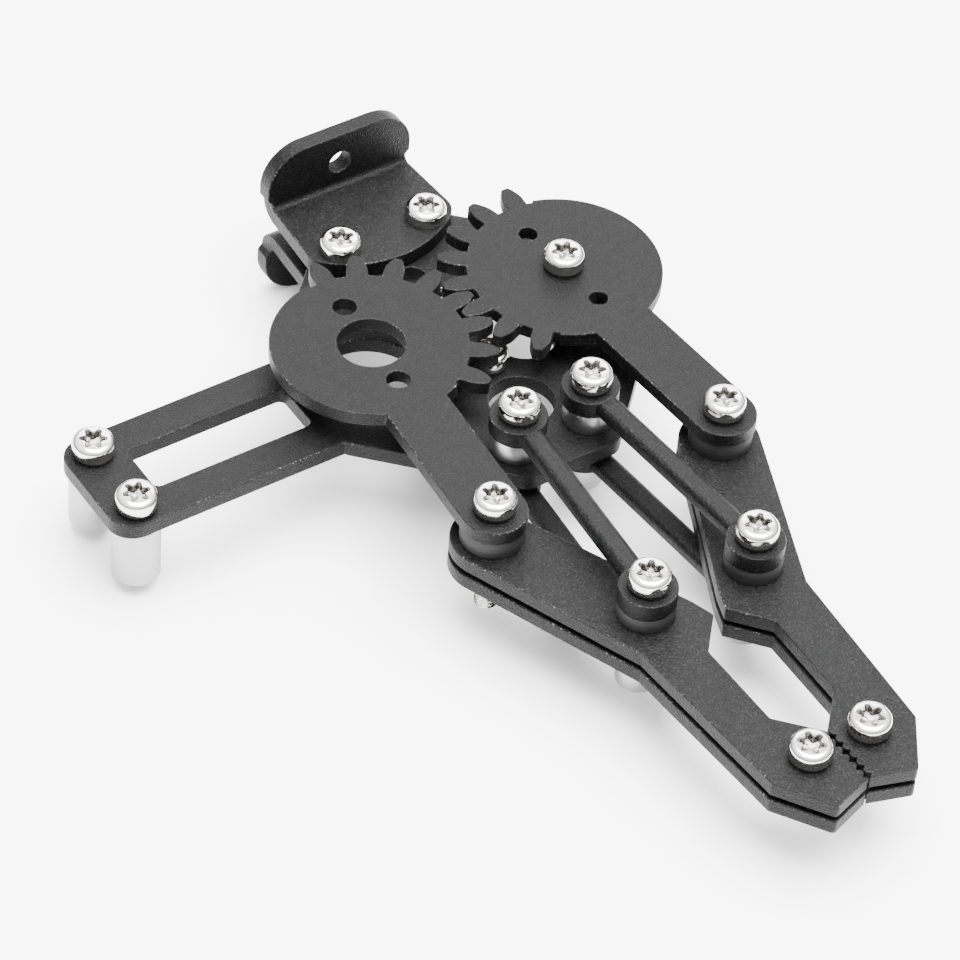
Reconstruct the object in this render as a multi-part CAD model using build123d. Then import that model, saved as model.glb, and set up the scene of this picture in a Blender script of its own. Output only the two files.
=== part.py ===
"""Claw gripper: a geared pair of arms and four links carry two parallel fingers.

Axes: +X points to the fingertips, +Y to the driven (idler) gear, +Z up from the servo side.
Origin: midway between the two wrist bolt holes, on the faces that bolt to the wrist.
The pieces are drawn about the base plate's top, half way between the gear axes, then moved.
The part is drawn with the fingers closed.
"""
import os
from math import acos, cos, degrees, pi, radians, sin, sqrt, tan

from build123d import *

# Gear pair: eighteen teeth would make the full circle, eight are cut on each gear.
TEETH_FULL_CIRCLE = 18
TEETH_CUT = 8
GEAR_HALF_SPACING = 14.0
GEAR_BACKLASH = 0.16
PRESSURE_ANGLE = 20.0
PITCH_R = GEAR_HALF_SPACING
MODULE = 2 * PITCH_R / TEETH_FULL_CIRCLE
TIP_R = PITCH_R + MODULE
ROOT_R = PITCH_R - 1.25 * MODULE
TOOTH_PITCH = 360 / TEETH_FULL_CIRCLE
TOOTH_TIP_ROUND = 0.42
RIM_R = ROOT_R + 0.34  # the disc behind the teeth
FIRST_TOOTH = 40.0  # from the drive arm's own direction, towards the other gear

# Linkage lengths: gear arm and link are equal, so the fingers stay parallel.
ARM_LENGTH = 31.0
GEAR_TO_LINK_PIVOT = (19.1, 8.8)  # along X, and towards the centre line
GRIP_DEPTH = 16.4  # from the arm pivot in to the gripping face
GRIP_GAP = 0.10  # left between the two closed faces
ARM_SWING = degrees(acos(sqrt(1 - ((GRIP_DEPTH + GRIP_GAP / 2 - GEAR_HALF_SPACING) / ARM_LENGTH) ** 2)))

# Fasteners, M3.
SCREW_R = 1.5
SCREW_HEAD_R = 2.6
SCREW_HEAD_H = 2.0
SCREW_HEAD_ROUND = 0.8
PIVOT_SCREW_LENGTH = 16.5
GEAR_SCREW_LENGTH = 12.0
TIP_SCREW_LENGTH = 8.0
SERVO_SCREW_LENGTH = 6.0
BRACKET_SCREW_LENGTH = 10.0
NUT_FLATS = 5.5
NUT_H = 2.4
LOCK_WASHER_T = 0.5
LOCK_WASHER_R = 2.45
LOCK_WASHER_SLIT = 0.35
SLEEVE_NUT_R = 2.7
SLEEVE_NUT_H = 3.85

# Clearances.
RUNNING_CLEARANCE = 0.05  # on the radius of a pivot
FACE_CLEARANCE = 0.05  # between faces that turn on each other
BOLT_CLEARANCE = 0.10  # on the radius of a clamped hole
PIVOT_HOLE_R = SCREW_R + RUNNING_CLEARANCE
BOLT_HOLE_R = SCREW_R + BOLT_CLEARANCE

# Heights. The base plate's top is zero.
BASE_T = 2.2
GEAR_T = 1.9
FINGER_PLATE_T = 2.0
FINGER_GAP = 0.8
LINK_T = 2.35
FINGER_TOP = 1.2
FINGER_BOTTOM = FINGER_TOP - 2 * FINGER_PLATE_T - FINGER_GAP
GEAR_TOP = 5.75
GEAR_BOTTOM = GEAR_TOP - GEAR_T
UPPER_LINK_BOTTOM = GEAR_TOP - LINK_T
LOWER_LINK_TOP = FINGER_BOTTOM - FACE_CLEARANCE
LOWER_LINK_BOTTOM = LOWER_LINK_TOP - LINK_T
HEAD_SEAT = GEAR_TOP + FACE_CLEARANCE  # the lock washers lie here

# Base plate.
BASE_FRONT_X = 24.2
BASE_REAR_X = -22.4
BASE_DIAGONAL = 30.7  # |x| + |y| on its four slanted sides
FRAME_HALF_WIDTH = 8.1
FRAME_CORNER_R = 3.2
BASE_RIGHT_END = 22.6
WINDOW_HALF_WIDTH = 3.5
WINDOW_CORNER_R = 0.9
SERVO_HOLES_ALONG = 49.5
SERVO_HOLES_ACROSS = 10.2
SERVO_AXIS_TO_NEAR_HOLES = 13.9
SERVO_END_MARGIN = 3.7
SERVO_SHAFT_OPENING_R = 6.6
WINDOW_BAR = 3.6  # end bars of the long window
RELIEF_SLOT = (14.2, 7.3)  # beside the gear pivot, along X and Y
RELIEF_SLOT_CENTRE_Y = 6.45
RELIEF_SLOT_CORNER_R = 3.2
CENTRE_HOLE_R = 4.1
CENTRE_HOLE_X = 12.6
REAR_HOLE_R = 1.95
REAR_HOLE_X = -12.4
STANDOFF_R = 3.0
STANDOFF_H = 8.5
STANDOFF_BORE_DEPTH = 3.9  # from each end, with a web between
STANDOFF_FOOT_BORE_R = 1.65  # takes the screw through the servo's ear

# Wrist brackets.
BRACKET_T = 2.2
BRACKET_SCREW_X = -19.2
BRACKET_SCREW_HALF_SPACING = 6.3
FLANGE_X = -31.8  # the faces that bolt to the wrist
BEND_INNER_R = 0.8
BRACKET_WAIST = 9.9
BRACKET_HALF_WIDTH = 10.5
BRACKET_CORNER_R = 2.6
BRACKET_FRONT_X = -14.5
FLANGE_HEIGHT = 10.4
FLANGE_CORNER_R = 5.4
WRIST_HOLE_R = 1.6
WRIST_HOLE_Z = 5.95

# Gear arms.
ARM_WIDTH = 8.2
DRIVE_BORE_R = 4.15
HORN_HOLE_R = 1.45
IDLER_SMALL_HOLE_R = 1.15
HORN_HOLE_CIRCLE_R = 7.0

# Links.
LINK_BOSS_R = 3.55
LINK_BAR_WIDTH = 3.0
LINK_CROWN = 0.9

# Spacers.
SPACER_R = 3.1
ARM_SPACER_R = 3.9
FINGER_WASHER_R = 3.0

# Finger outline, from the arm pivot: along X, and outward from the centre line.
FINGER_LOBE_R = 5.0
LINK_PIVOT_IN_FINGER = (GEAR_TO_LINK_PIVOT[0], -GEAR_TO_LINK_PIVOT[1])
TIP_SCREW_IN_FINGER = (46.8, 4.1 - GRIP_DEPTH)
FINGER_WAIST_OUTER = (24.4, -4.7)
TIP_OUTER = (47.9, -6.3)
TIP_FRONT = (54.4, 5.6 - GRIP_DEPTH)
TIP_END_X = 52.6
GRIP_START_X = 44.6
OPENING_FRONT = (39.7, 4.5 - GRIP_DEPTH)
OPENING_REAR = (27.8, 4.7 - GRIP_DEPTH)
OPENING_APEX = (23.3, 0.8 - GRIP_DEPTH)
HEEL = (20.4, 1.8 - GRIP_DEPTH)
INNER_OFFSET = 4.6  # of the rear inner edge from the line between the two pivots
SERRATIONS = 6
SERRATION_DEPTH = 0.55
CORNER_ROUND = 0.6

# Places in the base frame that follow from the values above.
LINK_PIVOT = (GEAR_TO_LINK_PIVOT[0], GEAR_HALF_SPACING - GEAR_TO_LINK_PIVOT[1])
ARM_PIVOT = (
    ARM_LENGTH * cos(radians(ARM_SWING)),
    GEAR_HALF_SPACING + ARM_LENGTH * sin(radians(ARM_SWING)),
)
SERVO_NEAR_Y = SERVO_AXIS_TO_NEAR_HOLES - GEAR_HALF_SPACING
SERVO_FAR_Y = SERVO_NEAR_Y - SERVO_HOLES_ALONG
FRAME_END_Y = SERVO_FAR_Y - SERVO_END_MARGIN


def plate(outline, bottom, thickness):
    """A flat plate from a face drawn on the XY plane."""
    return extrude(Pos(0, 0, bottom) * outline, thickness)


def disc(radius, bottom, height, x=0.0, y=0.0):
    """A round post standing on the height given."""
    return Pos(x, y, bottom) * Cylinder(radius, height, align=(Align.CENTER, Align.CENTER, Align.MIN))


def ring(outer, inner, bottom, height, x=0.0, y=0.0):
    """A spacer or washer."""
    return disc(outer, bottom, height, x, y) - disc(inner, bottom - 1, height + 2, x, y)


def screw(seat, length, x, y):
    """A pan-head screw whose head rests on the seat height."""
    head = disc(SCREW_HEAD_R, seat, SCREW_HEAD_H)
    head = fillet(head.edges().sort_by(Axis.Z)[-1], SCREW_HEAD_ROUND)
    body = head + disc(SCREW_R, seat - length, length)
    return Pos(x, y, 0) * body


def lock_washer(seat, x, y):
    """A split ring, cut open on one side."""
    washer = ring(LOCK_WASHER_R, SCREW_R + RUNNING_CLEARANCE, seat, LOCK_WASHER_T)
    slit = Pos(LOCK_WASHER_R, 0, seat + LOCK_WASHER_T / 2) * Rot(25, 0, 0) * Box(
        LOCK_WASHER_R, LOCK_WASHER_SLIT, 4 * LOCK_WASHER_T
    )
    return Pos(x, y, 0) * Rot(0, 0, 150) * (washer - slit)


def hex_nut(top, x, y):
    """A hexagon nut hanging below the height given."""
    outline = RegularPolygon(NUT_FLATS / sqrt(3), 6)
    nut = plate(outline, top - NUT_H, NUT_H) - disc(SCREW_R, top - NUT_H - 1, NUT_H + 2)
    return Pos(x, y, 0) * nut


def sleeve_nut(top, x, y):
    """A plain round nut below a link pivot."""
    return ring(SLEEVE_NUT_R, SCREW_R, top - SLEEVE_NUT_H, SLEEVE_NUT_H, x, y)


def both_sides(make):
    """The same piece on the +Y side and on the -Y side."""
    return Compound(children=[make(1), make(-1)])


def mirrored(shape):
    """The -Y twin of a +Y piece."""
    return mirror(shape, about=Plane.XZ)


# Gear arms


def tooth_outline(angle):
    """One involute tooth, pointing along the angle given."""
    base_r = PITCH_R * cos(radians(PRESSURE_ANGLE))

    def involute(alpha):
        return tan(alpha) - alpha

    half_at_pitch = pi / (2 * TEETH_FULL_CIRCLE) - GEAR_BACKLASH / (4 * PITCH_R)

    def flank_point(radius, side):
        turn = half_at_pitch + involute(radians(PRESSURE_ANGLE)) - involute(acos(base_r / radius))
        return (radius * cos(turn), side * radius * sin(turn))

    radii = [base_r + (TIP_R - base_r) * step / 3 for step in range(4)]
    left = [flank_point(r, 1) for r in radii]
    right = [flank_point(r, -1) for r in radii]
    foot = ROOT_R - 0.6
    root_left = (foot, left[0][1])
    root_right = (foot, right[0][1])
    edges = [
        Line(root_left, left[0]),
        Spline(*left),
        Line(left[-1], right[-1]),
        Spline(*right),
        Line(right[0], root_right),
        Line(root_right, root_left),
    ]
    face = make_face(edges)
    tips = face.vertices().sort_by(Axis.X)[-2:]
    return Rot(0, 0, angle) * fillet(tips, TOOTH_TIP_ROUND)


def gear_arm(side, first_tooth, holes):
    """A part-toothed gear with its crank arm, about the gear axis, arm along its own swing.

    side is -1 for the drive gear and 1 for the driven one; teeth face the other gear.
    """
    span = (TEETH_CUT - 1) * TOOTH_PITCH
    start = first_tooth - TOOTH_PITCH / 2
    reach = TIP_R + 2
    sector = make_face([
        Line((0, 0), (reach * cos(radians(start)), reach * sin(radians(start)))),
        CenterArc((0, 0), reach, start, span + TOOTH_PITCH),
        Line((reach * cos(radians(start + span + TOOTH_PITCH)),
              reach * sin(radians(start + span + TOOTH_PITCH))), (0, 0)),
    ])
    outline = Circle(RIM_R) - (sector - Circle(ROOT_R))
    for number in range(TEETH_CUT):
        outline += tooth_outline(first_tooth + number * TOOTH_PITCH)
    outline += Pos(ARM_LENGTH / 2, 0) * Rectangle(ARM_LENGTH, ARM_WIDTH)
    outline += Pos(ARM_LENGTH, 0) * Circle(ARM_WIDTH / 2)
    outline -= Pos(ARM_LENGTH, 0) * Circle(PIVOT_HOLE_R)
    for x, radius in holes:
        outline -= Pos(x, 0) * Circle(radius)
    body = Rot(0, 0, -ARM_SWING) * plate(outline, GEAR_BOTTOM, GEAR_T)
    if side > 0:
        body = mirrored(body)
    return Pos(0, side * GEAR_HALF_SPACING, 0) * body


def drive_gear_arm():
    """The gear that takes the servo horn."""
    holes = [(0, DRIVE_BORE_R), (HORN_HOLE_CIRCLE_R, HORN_HOLE_R), (-HORN_HOLE_CIRCLE_R, HORN_HOLE_R)]
    return gear_arm(-1, FIRST_TOOTH, holes)


def driven_gear_arm():
    """The idler gear on its own screw, cut half a tooth out of step."""
    holes = [(0, PIVOT_HOLE_R), (HORN_HOLE_CIRCLE_R, IDLER_SMALL_HOLE_R),
             (-HORN_HOLE_CIRCLE_R, IDLER_SMALL_HOLE_R)]
    return gear_arm(1, FIRST_TOOTH + TOOTH_PITCH / 2, holes)


# Links


def link(bottom):
    """A slender crowned bar between two round eyes, for the +Y side."""
    angle = ARM_SWING
    bar = Pos(ARM_LENGTH / 2, 0, bottom + LINK_T / 2) * Box(ARM_LENGTH, LINK_BAR_WIDTH, LINK_T)
    long_edges = bar.edges().filter_by(Axis.X)
    body = fillet(long_edges, LINK_CROWN)
    for x in (0, ARM_LENGTH):
        body += disc(LINK_BOSS_R, bottom, LINK_T, x)
    for x in (0, ARM_LENGTH):
        body -= disc(PIVOT_HOLE_R, bottom - 1, LINK_T + 2, x)
    return Pos(LINK_PIVOT[0], LINK_PIVOT[1], 0) * Rot(0, 0, angle) * body


# Fingers


def finger_outline():
    """The outline both plates of a finger share, about the arm pivot."""
    to_link = degrees(acos(LINK_PIVOT_IN_FINGER[0] / sqrt(sum(v * v for v in LINK_PIVOT_IN_FINGER))))
    inner = radians(-90 - to_link)
    inner_start = (INNER_OFFSET * cos(inner), INNER_OFFSET * sin(inner))
    grip = [(GRIP_START_X, -GRIP_DEPTH)]
    step = (TIP_END_X - GRIP_START_X) / SERRATIONS
    for number in range(SERRATIONS):
        x = GRIP_START_X + number * step
        grip.append((x + 0.35 * step, -GRIP_DEPTH))
        grip.append((x + 0.70 * step, -GRIP_DEPTH + SERRATION_DEPTH))
        grip.append((x + step, -GRIP_DEPTH))
    corners = [inner_start, HEEL, OPENING_APEX, OPENING_REAR, OPENING_FRONT] + grip
    corners += [TIP_FRONT, TIP_OUTER, FINGER_WAIST_OUTER]
    rise = FINGER_WAIST_OUTER
    reach = sqrt(rise[0] ** 2 + rise[1] ** 2)
    tangent = degrees(acos(FINGER_LOBE_R / reach)) + degrees(acos(rise[0] / reach)) * (-1)
    corners.append((FINGER_LOBE_R * cos(radians(tangent)), FINGER_LOBE_R * sin(radians(tangent))))
    face = make_face(Polyline(*corners, close=True))
    soft = [HEEL, OPENING_REAR, OPENING_FRONT, TIP_FRONT, TIP_OUTER, FINGER_WAIST_OUTER]
    picked = [v for v in face.vertices() if any(abs(v.X - x) + abs(v.Y - y) < 0.01 for x, y in soft)]
    face = fillet(picked, CORNER_ROUND)
    return face + Circle(FINGER_LOBE_R)


def finger_plate(bottom):
    """One plate of the +Y finger."""
    outline = finger_outline()
    for x, y in ((0, 0), LINK_PIVOT_IN_FINGER, TIP_SCREW_IN_FINGER):
        outline -= Pos(x, y) * Circle(BOLT_HOLE_R)
    return Pos(ARM_PIVOT[0], ARM_PIVOT[1], 0) * plate(outline, bottom, FINGER_PLATE_T)


def on_finger(place):
    """A point of the finger outline in the base frame, +Y side."""
    return (ARM_PIVOT[0] + place[0], ARM_PIVOT[1] + place[1])


LINK_JOINT = on_finger(LINK_PIVOT_IN_FINGER)
TIP_JOINT = on_finger(TIP_SCREW_IN_FINGER)


def finger_pieces():
    """Every piece of the +Y finger, by name."""
    gap_bottom = FINGER_BOTTOM + FINGER_PLATE_T
    places = (ARM_PIVOT, LINK_JOINT, TIP_JOINT)
    washers = [ring(FINGER_WASHER_R, BOLT_HOLE_R, gap_bottom, FINGER_GAP, x, y) for x, y in places]
    arm_spacer = ring(ARM_SPACER_R, BOLT_HOLE_R, FINGER_TOP,
                      GEAR_BOTTOM - FACE_CLEARANCE - FINGER_TOP, *ARM_PIVOT)
    link_spacer = ring(LINK_BOSS_R, BOLT_HOLE_R, FINGER_TOP,
                       UPPER_LINK_BOTTOM - FACE_CLEARANCE - FINGER_TOP, *LINK_JOINT)
    seat = HEAD_SEAT + LOCK_WASHER_T
    tip_seat = FINGER_TOP + LOCK_WASHER_T
    return {
        "upper_plate": finger_plate(FINGER_TOP - FINGER_PLATE_T),
        "lower_plate": finger_plate(FINGER_BOTTOM),
        "plate_washers": Compound(children=washers),
        "pivot_spacers": Compound(children=[arm_spacer, link_spacer]),
        "pivot_screws": Compound(children=[screw(seat, PIVOT_SCREW_LENGTH, *ARM_PIVOT),
                                           screw(seat, PIVOT_SCREW_LENGTH, *LINK_JOINT)]),
        "tip_screw": screw(tip_seat, TIP_SCREW_LENGTH, *TIP_JOINT),
        "lock_washers": Compound(children=[lock_washer(HEAD_SEAT, *ARM_PIVOT),
                                           lock_washer(HEAD_SEAT, *LINK_JOINT),
                                           lock_washer(FINGER_TOP, *TIP_JOINT)]),
        "hex_nuts": Compound(children=[hex_nut(FINGER_BOTTOM, *ARM_PIVOT),
                                       hex_nut(FINGER_BOTTOM, *TIP_JOINT)]),
        "sleeve_nut": sleeve_nut(LOWER_LINK_BOTTOM - FACE_CLEARANCE, *LINK_JOINT),
    }


# Base


def servo_places():
    """The four servo screw places."""
    half = SERVO_HOLES_ACROSS / 2
    return [(x, y) for y in (SERVO_FAR_Y, SERVO_NEAR_Y) for x in (-half, half)]


def standoff(x, y):
    """A round post under the base plate, bored from both ends."""
    foot = -BASE_T - STANDOFF_H
    post = disc(STANDOFF_R, foot, STANDOFF_H, x, y)
    post -= disc(STANDOFF_FOOT_BORE_R, foot, STANDOFF_BORE_DEPTH, x, y)
    return post - disc(SCREW_R, -BASE_T - STANDOFF_BORE_DEPTH, STANDOFF_BORE_DEPTH, x, y)


def base_plate():
    """Slanted body, with a windowed frame out to the servo's far screws."""
    corner = BASE_DIAGONAL - FRAME_HALF_WIDTH
    half = [
        (BASE_REAR_X, -(BASE_DIAGONAL + BASE_REAR_X)),
        (-FRAME_HALF_WIDTH, -corner),
        (FRAME_HALF_WIDTH, -corner),
        (BASE_FRONT_X, -(BASE_DIAGONAL - BASE_FRONT_X)),
    ]
    body = make_face(Polyline(*half, *[(x, -y) for x, y in reversed(half)], close=True))
    body = fillet(body.vertices(), 2.0)
    frame_length = -FRAME_END_Y
    frame = Pos(0, FRAME_END_Y + frame_length / 2) * RectangleRounded(
        2 * FRAME_HALF_WIDTH, frame_length, FRAME_CORNER_R
    )
    outline = body + frame
    window_start = SERVO_FAR_Y + WINDOW_BAR
    window_end = -GEAR_HALF_SPACING - SERVO_SHAFT_OPENING_R - WINDOW_BAR
    outline -= Pos(0, (window_start + window_end) / 2) * RectangleRounded(
        2 * WINDOW_HALF_WIDTH, window_end - window_start, WINDOW_CORNER_R
    )
    outline -= Pos(0, -GEAR_HALF_SPACING) * Circle(SERVO_SHAFT_OPENING_R)
    outline -= Pos(0, RELIEF_SLOT_CENTRE_Y) * RectangleRounded(*RELIEF_SLOT, RELIEF_SLOT_CORNER_R)
    outline -= Pos(CENTRE_HOLE_X, 0) * Circle(CENTRE_HOLE_R)
    outline -= Pos(REAR_HOLE_X, 0) * Circle(REAR_HOLE_R)
    bolts = servo_places() + [(0, GEAR_HALF_SPACING)]
    for side in (1, -1):
        bolts.append((LINK_PIVOT[0], side * LINK_PIVOT[1]))
        bolts.append((BRACKET_SCREW_X, side * BRACKET_SCREW_HALF_SPACING))
    for x, y in bolts:
        outline -= Pos(x, y) * Circle(BOLT_HOLE_R)
    return plate(outline, -BASE_T, BASE_T)


def upper_wrist_bracket():
    """A bent bracket: a lobed foot on the base plate and a rounded flange for the wrist."""
    bend_r = BEND_INNER_R + BRACKET_T
    foot_rear = FLANGE_X + bend_r
    side_y = BRACKET_SCREW_HALF_SPACING
    foot = make_face([
        Line((foot_rear, BRACKET_WAIST), (foot_rear, -BRACKET_WAIST)),
        Line((foot_rear, -BRACKET_WAIST), (BRACKET_SCREW_X, -BRACKET_HALF_WIDTH)),
        ThreePointArc((BRACKET_SCREW_X, -BRACKET_HALF_WIDTH), (BRACKET_FRONT_X, 0),
                      (BRACKET_SCREW_X, BRACKET_HALF_WIDTH)),
        Line((BRACKET_SCREW_X, BRACKET_HALF_WIDTH), (foot_rear, BRACKET_WAIST)),
    ])
    foot = fillet(foot.vertices().group_by(Axis.X)[-1], BRACKET_CORNER_R)
    for y in (-side_y, side_y):
        foot -= Pos(BRACKET_SCREW_X, y) * Circle(BOLT_HOLE_R)
    foot_solid = plate(foot, 0, BRACKET_T)
    section = make_face([
        CenterArc((foot_rear, bend_r), bend_r, 180, 90),
        Line((foot_rear, 0), (foot_rear, BRACKET_T)),
        CenterArc((foot_rear, bend_r), BEND_INNER_R, 180, 90),
        Line((foot_rear - BEND_INNER_R, bend_r), (FLANGE_X, bend_r)),
    ])
    section = Plane.XZ * section
    bend = extrude(section, BRACKET_WAIST, both=True)
    low = bend_r
    height = FLANGE_HEIGHT - low
    flange = Pos(0, low + height / 2) * Rectangle(2 * BRACKET_HALF_WIDTH, height)
    flange = fillet(flange.vertices().group_by(Axis.Y)[-1], FLANGE_CORNER_R)
    flange = chamfer(flange.vertices().group_by(Axis.Y)[0], BRACKET_HALF_WIDTH - BRACKET_WAIST)
    flange -= Pos(0, WRIST_HOLE_Z) * Circle(WRIST_HOLE_R)
    stand = Plane(origin=(FLANGE_X, 0, 0), x_dir=(0, 1, 0), z_dir=(1, 0, 0)) * flange
    return foot_solid + bend + extrude(stand, BRACKET_T)


def lower_wrist_bracket():
    """The same bracket, turned over under the base plate."""
    middle = Plane(origin=(0, 0, -BASE_T / 2), x_dir=(1, 0, 0), z_dir=(0, 0, 1))
    return mirror(upper_wrist_bracket(), about=middle)


def base_pieces():
    """Every piece that stays still, by name."""
    bracket_seat = BRACKET_T
    bracket_nut_top = -BASE_T - BRACKET_T
    servo_seat = LOCK_WASHER_T
    pivot_seat = HEAD_SEAT + LOCK_WASHER_T
    gear_axis = (0, GEAR_HALF_SPACING)
    px, py = LINK_PIVOT
    sleeve_top = LOWER_LINK_BOTTOM - FACE_CLEARANCE
    lower_spacer_h = -BASE_T - LOWER_LINK_TOP - FACE_CLEARANCE

    def bracket_place(side):
        return (BRACKET_SCREW_X, side * BRACKET_SCREW_HALF_SPACING)

    standoffs = [standoff(x, y) for x, y in servo_places()]
    servo_screws = [screw(servo_seat, SERVO_SCREW_LENGTH, x, y) for x, y in servo_places()]
    base_washers = [lock_washer(0, x, y) for x, y in servo_places()]
    return {
        "base_plate": base_plate(),
        "wrist_bracket_upper": upper_wrist_bracket(),
        "wrist_bracket_lower": lower_wrist_bracket(),
        "bracket_screws": both_sides(
            lambda side: screw(bracket_seat, BRACKET_SCREW_LENGTH, *bracket_place(side))),
        "bracket_nuts": both_sides(lambda side: hex_nut(bracket_nut_top, *bracket_place(side))),
        "servo_standoffs": Compound(children=standoffs),
        "servo_screws": Compound(children=servo_screws),
        "servo_lock_washers": Compound(children=base_washers),
        "gear_pivot_spacer": ring(SPACER_R, BOLT_HOLE_R, 0, GEAR_BOTTOM - FACE_CLEARANCE, *gear_axis),
        "gear_pivot_screw": screw(pivot_seat, GEAR_SCREW_LENGTH, *gear_axis),
        "gear_pivot_nut": hex_nut(-BASE_T, *gear_axis),
        "link_spacers_upper": both_sides(
            lambda side: ring(SPACER_R, BOLT_HOLE_R, 0, UPPER_LINK_BOTTOM - FACE_CLEARANCE,
                              px, side * py)),
        "link_spacers_lower": both_sides(
            lambda side: ring(SPACER_R, BOLT_HOLE_R, -BASE_T - lower_spacer_h, lower_spacer_h,
                              px, side * py)),
        "link_pivot_screws": both_sides(
            lambda side: screw(pivot_seat, PIVOT_SCREW_LENGTH, px, side * py)),
        "link_sleeve_nuts": both_sides(lambda side: sleeve_nut(sleeve_top, px, side * py)),
        "base_lock_washers": Compound(children=[lock_washer(HEAD_SEAT, px, py),
                                                lock_washer(HEAD_SEAT, px, -py),
                                                lock_washer(HEAD_SEAT, *gear_axis)]),
    }


def all_pieces():
    """Every node of the gripper, by name."""
    pieces = base_pieces()
    pieces["drive_gear_arm"] = drive_gear_arm()
    pieces["driven_gear_arm"] = driven_gear_arm()
    for level, bottom in (("upper", UPPER_LINK_BOTTOM), ("lower", LOWER_LINK_BOTTOM)):
        pieces["link_right_" + level] = link(bottom)
        pieces["link_left_" + level] = mirrored(link(bottom))
    for name, shape in finger_pieces().items():
        pieces["finger_right_" + name] = shape
        pieces["finger_left_" + name] = mirrored(shape)
    return pieces


# The origin moves to the middle of the wrist bolt pattern.
TO_WRIST = Pos(-FLANGE_X, 0, BASE_T / 2)

os.makedirs("parts", exist_ok=True)
for node, shape in all_pieces().items():
    export_step(TO_WRIST * Compound(shape.solids()), "parts/" + node + ".step")
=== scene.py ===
"""Dresses the claw gripper: black coated plates, bright screws and turned aluminium posts.

Sizes are in millimetres about the top of the base plate, half way between the gear axes,
with X towards the fingertips and Z up. Surface.build moves them to the frame's own origin.
"""
import logging
from collections.abc import Callable
from dataclasses import dataclass, field
from enum import Enum
from math import cos, pi, radians, sin

import bmesh
import bpy
import numpy as np
from mathutils import Matrix, Vector


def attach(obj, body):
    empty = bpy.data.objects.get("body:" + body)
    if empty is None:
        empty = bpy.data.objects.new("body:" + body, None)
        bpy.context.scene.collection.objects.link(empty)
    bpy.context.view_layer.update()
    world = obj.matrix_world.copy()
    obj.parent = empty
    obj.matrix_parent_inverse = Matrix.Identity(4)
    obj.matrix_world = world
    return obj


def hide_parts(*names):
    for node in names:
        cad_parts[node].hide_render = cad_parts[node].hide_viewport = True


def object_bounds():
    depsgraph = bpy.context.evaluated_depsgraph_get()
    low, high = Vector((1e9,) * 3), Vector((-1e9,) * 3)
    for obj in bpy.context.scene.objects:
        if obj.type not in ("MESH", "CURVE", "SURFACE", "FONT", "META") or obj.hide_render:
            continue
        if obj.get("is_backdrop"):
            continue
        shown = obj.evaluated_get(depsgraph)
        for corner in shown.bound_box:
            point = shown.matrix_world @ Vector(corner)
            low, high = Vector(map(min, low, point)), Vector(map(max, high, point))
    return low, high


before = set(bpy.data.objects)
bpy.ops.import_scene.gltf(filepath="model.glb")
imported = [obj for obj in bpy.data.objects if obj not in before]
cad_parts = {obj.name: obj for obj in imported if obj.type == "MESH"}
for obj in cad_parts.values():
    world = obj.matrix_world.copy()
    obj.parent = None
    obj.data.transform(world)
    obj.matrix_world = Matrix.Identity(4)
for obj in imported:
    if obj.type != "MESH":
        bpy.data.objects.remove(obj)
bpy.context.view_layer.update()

LOG = logging.getLogger("gripper")
MM = 0.001
TO_WRIST = np.array([31.8, 0.0, 1.1])  # from the drawing origin to the wrist bolts' middle
AROUND = 72  # samples round every turned surface
PLATE_TOP = 0.0  # of the base plate
ARM_BOTTOM = 3.8  # the gear arms' lower faces
LINK_EYE_BOTTOM = 3.35  # the upper links' lower faces
PIVOT_WASHER = 5.8  # where a pivot's lock washer lies
HEAD_SEAT = 6.3  # under a pivot screw's head
PIVOT_SCREW_LENGTH = 16.5
RUNNING_BORE = 1.6  # the radius of a hole that a screw passes through
WELD_DISTANCE = 2e-7
SHARP_ANGLE = radians(33)

Place = tuple[float, float]
Array = np.ndarray


class Slot(Enum):
    """The record's finishes."""

    BLACK_COAT = "black_coated_aluminium"
    BLACK_SPACER = "black_spacer"
    ALUMINIUM = "bare_aluminium"
    STEEL = "bright_steel"


class Ends(Enum):
    """How a grid's first and last ring are closed."""

    POLES = "each end ring is a single point"
    JOINED = "the last ring joins the first"


class Side(Enum):
    """A side of the gripper, with the sign of its Y."""

    LEFT = -1
    RIGHT = 1

    @property
    def word(self) -> str:
        """The side's word in node and body names."""
        return self.name.lower()

    def at(self, place: Place) -> Place:
        """A right-hand place carried over to this side."""
        return place[0], place[1] * self.value


# Meshes


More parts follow.
